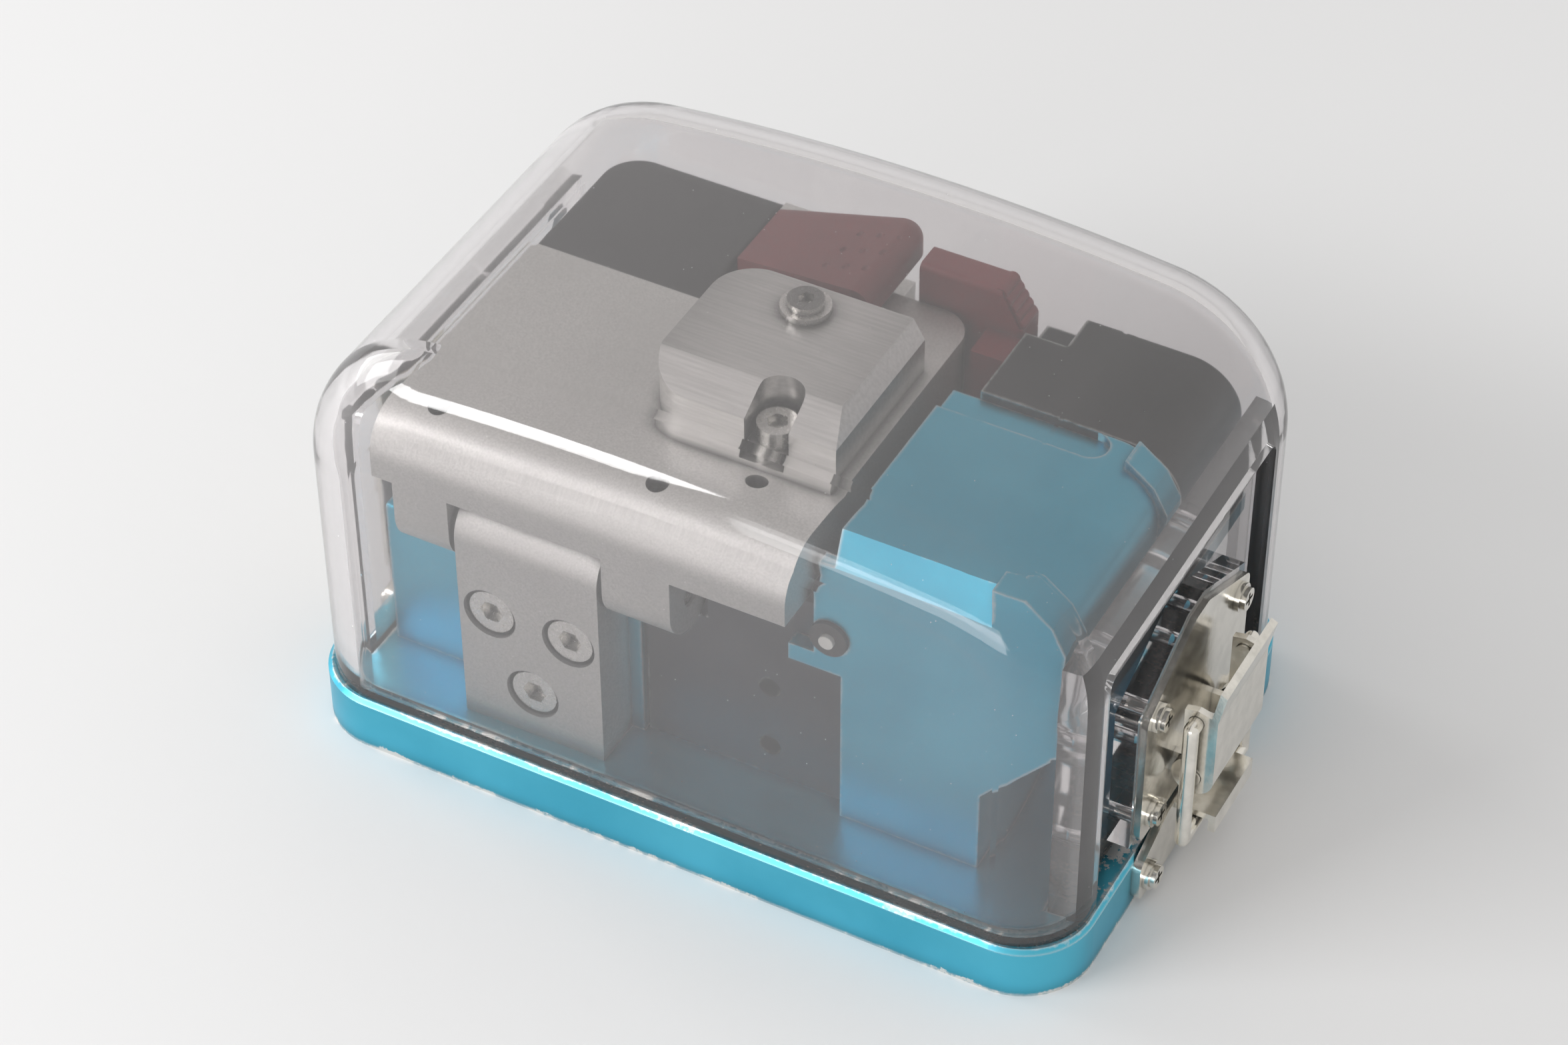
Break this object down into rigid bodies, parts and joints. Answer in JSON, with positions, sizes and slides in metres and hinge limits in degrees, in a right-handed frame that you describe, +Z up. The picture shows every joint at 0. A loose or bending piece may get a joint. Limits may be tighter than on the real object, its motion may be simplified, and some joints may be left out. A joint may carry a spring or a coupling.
{
  "type": "optical fibre cleaver",
  "caption": "Pocket fibre cleaver: anodised blocks with a hinged clamp arm, sliding blade wheel and press tab, under a clear lift-off cover held by end latches.",
  "frame": {"origin": "centre of the base's underside", "axes": "+X along the long side to the right, +Y towards the side away from the hinge, +Z up"},
  "size_m": [0.107, 0.0626, 0.0566],
  "materials": {
    "turquoise_metal": "anodised satin",
    "dark_metal": "anodised satin",
    "black_metal": "brushed, anodised",
    "silver_metal": "bead blasted",
    "milled_metal": "milled",
    "screw_steel": "plated",
    "dark_screw": "blackened",
    "black_rubber": "soft matte",
    "white_plastic": "smooth",
    "tab_plastic": "moulded satin",
    "red_plastic": "moulded",
    "slider_metal": "anodised",
    "blade_steel": "ground",
    "magnet": "plated",
    "smoked_cover": "clear, lightly smoked",
    "latch_steel": "polished"
  },
  "bodies": {
    "base": {"base_plate": "turquoise_metal", "base_screws": "screw_steel", "body_left": "turquoise_metal", "body_right": "turquoise_metal", "centre_block": "dark_metal", "rear_block": "black_metal", "hinge_bracket": "silver_metal", "bracket_screws": "screw_steel", "guide_rod_left": "screw_steel", "guide_rod_right": "screw_steel", "lower_clamp_left": "black_rubber", "lower_clamp_right": "black_rubber", "stop_bumper": "black_rubber", "stop_stud": "white_plastic", "arm_magnet": "magnet", "keeper_left": "latch_steel", "keeper_right": "latch_steel", "keeper_screws_left": "latch_steel", "keeper_screws_right": "latch_steel"},
    "lid": {"cover": "smoked_cover", "latch_plate_left": "latch_steel", "latch_plate_right": "latch_steel", "latch_screws_left": "latch_steel", "latch_screws_right": "latch_steel", "latch_pin_left": "latch_steel", "latch_pin_right": "latch_steel"},
    "lever_right": {"latch_lever_right": "latch_steel"},
    "bail_right": {"latch_bail_right": "latch_steel"},
    "lever_left": {"latch_lever_left": "latch_steel"},
    "bail_left": {"latch_bail_left": "latch_steel"},
    "arm": {"arm": "silver_metal", "hinge_pin": "screw_steel", "arm_grub_screws": "dark_screw", "arm_end_screw": "screw_steel", "anvil_housing": "milled_metal", "housing_screws": "screw_steel", "arm_pad": "black_rubber", "upper_clamp_left": "black_rubber", "upper_clamp_right": "black_rubber", "press_tab_pin": "screw_steel", "arm_striker": "magnet"},
    "press_tab": {"press_tab": "tab_plastic", "anvil": "blade_steel"},
    "carriage": {"slider": "slider_metal", "slider_knob": "red_plastic", "knob_screw": "screw_steel", "blade_axle": "screw_steel"},
    "wheel": {"blade_wheel": "blade_steel"}
  },
  "joints": [
    {"name": "cover_lift", "type": "slide", "parent": "base", "child": "lid", "axis": [0, 0, 1], "range_m": [0, 0.11]},
    {"name": "arm_swing", "type": "hinge", "parent": "base", "child": "arm", "pos_m": [-0.0186, -0.0215, 0.0328], "axis": [1, 0, 0], "range_deg": [0, 60]},
    {"name": "lever_right_swing", "type": "hinge", "parent": "lid", "child": "lever_right", "pos_m": [0.0503, 0, 0.0154], "axis": [0, 1, 0], "range_deg": [0, 75]},
    {"name": "lever_left_swing", "type": "hinge", "parent": "lid", "child": "lever_left", "pos_m": [-0.0503, 0, 0.0154], "axis": [0, -1, 0], "range_deg": [0, 75]},
    {"name": "bail_right_swing", "type": "hinge", "parent": "lever_right", "child": "bail_right", "pos_m": [0.0503, 0, 0.0234], "axis": [0, 1, 0], "range_deg": [-46, 0]},
    {"name": "bail_left_swing", "type": "hinge", "parent": "lever_left", "child": "bail_left", "pos_m": [-0.0503, 0, 0.0234], "axis": [0, -1, 0], "range_deg": [-46, 0]},
    {"name": "press_tab_swing", "type": "hinge", "parent": "arm", "child": "press_tab", "pos_m": [-0.0129, 0.0155, 0.0439], "axis": [0, 1, 0], "range_deg": [0, 3], "stiffness_Nm_per_rad": 0.5, "springref_deg": -1.15},
    {"name": "carriage_slide", "type": "slide", "parent": "base", "child": "carriage", "axis": [0, 1, 0], "range_m": [0, 0.005]},
    {"name": "wheel_turn", "type": "hinge", "parent": "carriage", "child": "wheel", "pos_m": [0.0016, -0.0065, 0.0289], "axis": [1, 0, 0], "continuous": true}
  ],
  "couplings": [
    {"joint": "arm_swing", "follows": "cover_lift", "rad_per_m": 9.5},
    {"joint": "bail_right_swing", "follows": "lever_right_swing", "ratio": -0.6},
    {"joint": "bail_left_swing", "follows": "lever_left_swing", "ratio": -0.6}
  ]
}
